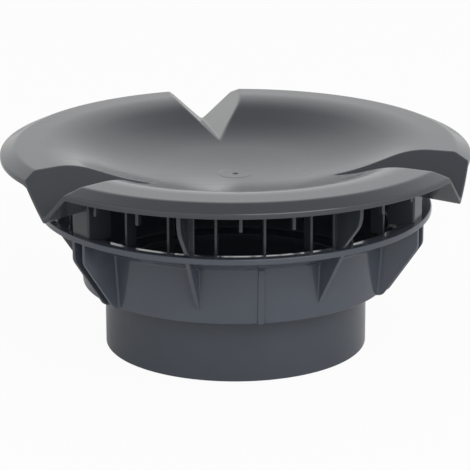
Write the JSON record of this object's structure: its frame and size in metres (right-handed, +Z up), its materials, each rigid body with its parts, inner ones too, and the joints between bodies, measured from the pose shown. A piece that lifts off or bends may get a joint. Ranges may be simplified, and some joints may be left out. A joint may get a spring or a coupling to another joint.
{
  "type": "ventilation roof cap",
  "caption": "Round plastic roof vent cap: a spigot base flares to a ribbed hoop that carries a dished rain lid with V drain valleys, open all round for the outgoing air.",
  "frame": {"origin": "centre of the spigot's lower edge, on the axis of the duct", "axes": "+Z up along the duct axis towards the lid, -Y through the middle of one lobe of the lid"},
  "size_m": [0.2204, 0.2204, 0.0974],
  "materials": {
    "grey_plastic": "satin slate grey moulding"
  },
  "bodies": {
    "root": {"base": "grey_plastic", "rain_lid": "grey_plastic"}
  },
  "joints": []
}
